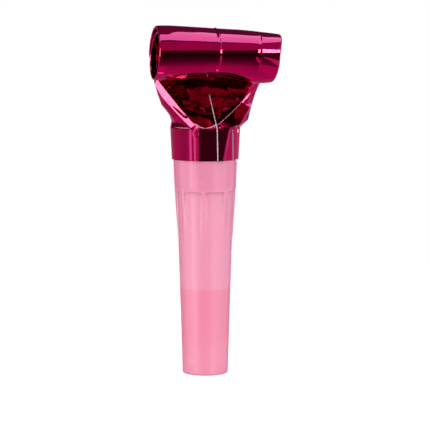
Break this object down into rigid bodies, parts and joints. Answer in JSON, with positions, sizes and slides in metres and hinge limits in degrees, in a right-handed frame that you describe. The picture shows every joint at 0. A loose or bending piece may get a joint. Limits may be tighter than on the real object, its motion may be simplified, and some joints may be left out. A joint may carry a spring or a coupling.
{
  "type": "party horn blower",
  "caption": "Party blow-out: a metallised foil tube rolled up on a ribbed conical mouthpiece with a reed inside; the roll springs open when blown.",
  "frame": {"origin": "centre of the mouthpiece's mouth end", "axes": "+Z along the mouthpiece towards the roll, -Y the side that the tube rolls to, X along the roll"},
  "size_m": [0.0284, 0.02, 0.0798],
  "materials": {
    "pink_plastic": "translucent moulded",
    "insert_plastic": "moulded",
    "reed_film": "thin film",
    "glue": "dried clear glue",
    "magenta_foil": "metallised film",
    "spring_steel": "bright strip"
  },
  "bodies": {
    "mouthpiece_body": {"mouthpiece": "pink_plastic", "reed_holder": "insert_plastic", "reed_bed": "insert_plastic", "reed_wedge": "insert_plastic", "reed_root": "reed_film", "glue_band": "glue", "foil_collar": "magenta_foil", "foil_throat": "magenta_foil", "recoil_strip_root": "spring_steel"},
    "reed": {"reed_tip": "reed_film"},
    "roll_01": {"foil_length_01": "magenta_foil", "recoil_strip_01": "spring_steel"},
    "roll_02": {"foil_length_02": "magenta_foil", "recoil_strip_02": "spring_steel"},
    "roll_03": {"foil_length_03": "magenta_foil", "recoil_strip_03": "spring_steel"},
    "roll_04": {"foil_length_04": "magenta_foil", "recoil_strip_04": "spring_steel"},
    "roll_05": {"foil_length_05": "magenta_foil", "recoil_strip_05": "spring_steel"},
    "roll_06": {"foil_length_06": "magenta_foil", "recoil_strip_06": "spring_steel"},
    "roll_07": {"foil_length_07": "magenta_foil", "recoil_strip_07": "spring_steel"},
    "roll_08": {"foil_length_08": "magenta_foil", "recoil_strip_08": "spring_steel"},
    "roll_09": {"foil_length_09": "magenta_foil", "recoil_strip_09": "spring_steel"},
    "roll_10": {"foil_length_10": "magenta_foil", "recoil_strip_10": "spring_steel"},
    "roll_11": {"foil_length_11": "magenta_foil", "recoil_strip_11": "spring_steel"},
    "roll_12": {"foil_length_12": "magenta_foil", "recoil_strip_12": "spring_steel"},
    "roll_13": {"foil_length_13": "magenta_foil", "recoil_strip_13": "spring_steel"},
    "roll_14": {"foil_length_14": "magenta_foil", "recoil_strip_14": "spring_steel"},
    "roll_15": {"foil_length_15": "magenta_foil", "recoil_strip_15": "spring_steel"},
    "roll_16": {"foil_length_16": "magenta_foil", "recoil_strip_16": "spring_steel"},
    "roll_17": {"foil_length_17": "magenta_foil", "recoil_strip_17": "spring_steel"},
    "roll_18": {"foil_length_18": "magenta_foil", "recoil_strip_18": "spring_steel"},
    "roll_19": {"foil_length_19": "magenta_foil", "recoil_strip_19": "spring_steel"},
    "roll_20": {"foil_length_20": "magenta_foil", "recoil_strip_20": "spring_steel"},
    "roll_21": {"foil_length_21": "magenta_foil", "recoil_strip_21": "spring_steel"},
    "roll_22": {"foil_length_22": "magenta_foil", "recoil_strip_22": "spring_steel"},
    "roll_23": {"foil_length_23": "magenta_foil", "recoil_strip_23": "spring_steel"},
    "roll_24": {"foil_length_24": "magenta_foil", "recoil_strip_24": "spring_steel", "foil_end_fold": "magenta_foil"}
  },
  "joints": [
    {"name": "unroll_01", "type": "hinge", "parent": "mouthpiece_body", "child": "roll_01", "pos_m": [0.00094, 0, 0.07425], "axis": [-0.9993, 0, 0.0366], "range_deg": [0, 22.5], "stiffness_Nm_per_rad": 0.0008, "springref_deg": -28.65},
    {"name": "unroll_02", "type": "hinge", "parent": "roll_01", "child": "roll_02", "pos_m": [0.00107, -0.00141, 0.07766], "axis": [-0.9993, 0, 0.0366], "range_deg": [0, 45], "stiffness_Nm_per_rad": 0.0008, "springref_deg": -28.65},
    {"name": "unroll_03", "type": "hinge", "parent": "roll_02", "child": "roll_03", "pos_m": [0.00114, -0.00595, 0.07954], "axis": [-0.9993, 0, 0.0366], "range_deg": [0, 45], "stiffness_Nm_per_rad": 0.0008, "springref_deg": -28.65},
    {"name": "unroll_04", "type": "hinge", "parent": "roll_03", "child": "roll_04", "pos_m": [0.00107, -0.01039, 0.0777], "axis": [-0.9993, 0, 0.0366], "range_deg": [0, 45], "stiffness_Nm_per_rad": 0.0008, "springref_deg": -28.65},
    {"name": "unroll_05", "type": "hinge", "parent": "roll_04", "child": "roll_05", "pos_m": [0.00091, -0.01219, 0.07336], "axis": [-0.9993, 0, 0.0366], "range_deg": [0, 45], "stiffness_Nm_per_rad": 0.0008, "springref_deg": -28.65},
    {"name": "unroll_06", "type": "hinge", "parent": "roll_05", "child": "roll_06", "pos_m": [0.00076, -0.01043, 0.06912], "axis": [-0.9993, 0, 0.0366], "range_deg": [0, 45], "stiffness_Nm_per_rad": 0.0008, "springref_deg": -28.65},
    {"name": "unroll_07", "type": "hinge", "parent": "roll_06", "child": "roll_07", "pos_m": [0.00069, -0.00628, 0.0674], "axis": [-0.9993, 0, 0.0366], "range_deg": [0, 45], "stiffness_Nm_per_rad": 0.0008, "springref_deg": -28.65},
    {"name": "unroll_08", "type": "hinge", "parent": "roll_07", "child": "roll_08", "pos_m": [0.00075, -0.00222, 0.06908], "axis": [-0.9993, 0, 0.0366], "range_deg": [0, 45], "stiffness_Nm_per_rad": 0.0008, "springref_deg": -28.65},
    {"name": "unroll_09", "type": "hinge", "parent": "roll_08", "child": "roll_09", "pos_m": [0.0009, -0.00058, 0.07304], "axis": [-0.9993, 0, 0.0366], "range_deg": [0, 45], "stiffness_Nm_per_rad": 0.0008, "springref_deg": -28.65},
    {"name": "unroll_10", "type": "hinge", "parent": "roll_09", "child": "roll_10", "pos_m": [0.00104, -0.00218, 0.0769], "axis": [-0.9993, 0, 0.0366], "range_deg": [0, 45], "stiffness_Nm_per_rad": 0.0008, "springref_deg": -28.65},
    {"name": "unroll_11", "type": "hinge", "parent": "roll_10", "child": "roll_11", "pos_m": [0.0011, -0.00595, 0.07846], "axis": [-0.9993, 0, 0.0366], "range_deg": [0, 45], "stiffness_Nm_per_rad": 0.0008, "springref_deg": -28.65},
    {"name": "unroll_12", "type": "hinge", "parent": "roll_11", "child": "roll_12", "pos_m": [0.00104, -0.00962, 0.07694], "axis": [-0.9993, 0, 0.0366], "range_deg": [0, 45], "stiffness_Nm_per_rad": 0.0008, "springref_deg": -28.65},
    {"name": "unroll_13", "type": "hinge", "parent": "roll_12", "child": "roll_13", "pos_m": [0.00091, -0.01111, 0.07336], "axis": [-0.9993, 0, 0.0366], "range_deg": [0, 45], "stiffness_Nm_per_rad": 0.0008, "springref_deg": -28.65},
    {"name": "unroll_14", "type": "hinge", "parent": "roll_13", "child": "roll_14", "pos_m": [0.00078, -0.00966, 0.06988], "axis": [-0.9993, 0, 0.0366], "range_deg": [0, 45], "stiffness_Nm_per_rad": 0.0008, "springref_deg": -28.65},
    {"name": "unroll_15", "type": "hinge", "parent": "roll_14", "child": "roll_15", "pos_m": [0.00073, -0.00628, 0.06848], "axis": [-0.9993, 0, 0.0366], "range_deg": [0, 45], "stiffness_Nm_per_rad": 0.0008, "springref_deg": -28.65},
    {"name": "unroll_16", "type": "hinge", "parent": "roll_15", "child": "roll_16", "pos_m": [0.00078, -0.00298, 0.06984], "axis": [-0.9993, 0, 0.0366], "range_deg": [0, 45], "stiffness_Nm_per_rad": 0.0008, "springref_deg": -28.65},
    {"name": "unroll_17", "type": "hinge", "parent": "roll_16", "child": "roll_17", "pos_m": [0.0009, -0.00166, 0.07304], "axis": [-0.9993, 0, 0.0366], "range_deg": [0, 45], "stiffness_Nm_per_rad": 0.0008, "springref_deg": -28.65},
    {"name": "unroll_18", "type": "hinge", "parent": "roll_17", "child": "roll_18", "pos_m": [0.00101, -0.00295, 0.07614], "axis": [-0.9993, 0, 0.0366], "range_deg": [0, 45], "stiffness_Nm_per_rad": 0.0008, "springref_deg": -28.65},
    {"name": "unroll_19", "type": "hinge", "parent": "roll_18", "child": "roll_19", "pos_m": [0.00106, -0.00595, 0.07738], "axis": [-0.9993, 0, 0.0366], "range_deg": [0, 45], "stiffness_Nm_per_rad": 0.0008, "springref_deg": -28.65},
    {"name": "unroll_20", "type": "hinge", "parent": "roll_19", "child": "roll_20", "pos_m": [0.00101, -0.00886, 0.07617], "axis": [-0.9993, 0, 0.0366], "range_deg": [0, 45], "stiffness_Nm_per_rad": 0.0008, "springref_deg": -28.65},
    {"name": "unroll_21", "type": "hinge", "parent": "roll_20", "child": "roll_21", "pos_m": [0.00091, -0.01002, 0.07336], "axis": [-0.9993, 0, 0.0366], "range_deg": [0, 45], "stiffness_Nm_per_rad": 0.0008, "springref_deg": -28.65},
    {"name": "unroll_22", "type": "hinge", "parent": "roll_21", "child": "roll_22", "pos_m": [0.00081, -0.0089, 0.07065], "axis": [-0.9993, 0, 0.0366], "range_deg": [0, 45], "stiffness_Nm_per_rad": 0.0008, "springref_deg": -28.65},
    {"name": "unroll_23", "type": "hinge", "parent": "roll_22", "child": "roll_23", "pos_m": [0.00077, -0.00628, 0.06956], "axis": [-0.9993, 0, 0.0366], "range_deg": [0, 45], "stiffness_Nm_per_rad": 0.0008, "springref_deg": -28.65},
    {"name": "unroll_24", "type": "hinge", "parent": "roll_23", "child": "roll_24", "pos_m": [0.00081, -0.00375, 0.07061], "axis": [-0.9993, 0, 0.0366], "range_deg": [0, 45], "stiffness_Nm_per_rad": 0.0008, "springref_deg": -28.65},
    {"name": "reed_flutter", "type": "hinge", "parent": "mouthpiece_body", "child": "reed", "pos_m": [0, -0.0001, 0.01377], "axis": [1, 0, 0], "range_deg": [-4, 3], "stiffness_Nm_per_rad": 0.00002}
  ],
  "couplings": [
    {"joint": "unroll_02", "follows": "unroll_01", "ratio": 2},
    {"joint": "unroll_03", "follows": "unroll_01", "ratio": 2},
    {"joint": "unroll_04", "follows": "unroll_01", "ratio": 2},
    {"joint": "unroll_05", "follows": "unroll_01", "ratio": 2},
    {"joint": "unroll_06", "follows": "unroll_01", "ratio": 2},
    {"joint": "unroll_07", "follows": "unroll_01", "ratio": 2},
    {"joint": "unroll_08", "follows": "unroll_01", "ratio": 2},
    {"joint": "unroll_09", "follows": "unroll_01", "ratio": 2},
    {"joint": "unroll_10", "follows": "unroll_01", "ratio": 2},
    {"joint": "unroll_11", "follows": "unroll_01", "ratio": 2},
    {"joint": "unroll_12", "follows": "unroll_01", "ratio": 2},
    {"joint": "unroll_13", "follows": "unroll_01", "ratio": 2},
    {"joint": "unroll_14", "follows": "unroll_01", "ratio": 2},
    {"joint": "unroll_15", "follows": "unroll_01", "ratio": 2},
    {"joint": "unroll_16", "follows": "unroll_01", "ratio": 2},
    {"joint": "unroll_17", "follows": "unroll_01", "ratio": 2},
    {"joint": "unroll_18", "follows": "unroll_01", "ratio": 2},
    {"joint": "unroll_19", "follows": "unroll_01", "ratio": 2},
    {"joint": "unroll_20", "follows": "unroll_01", "ratio": 2},
    {"joint": "unroll_21", "follows": "unroll_01", "ratio": 2},
    {"joint": "unroll_22", "follows": "unroll_01", "ratio": 2},
    {"joint": "unroll_23", "follows": "unroll_01", "ratio": 2},
    {"joint": "unroll_24", "follows": "unroll_01", "ratio": 2}
  ]
}
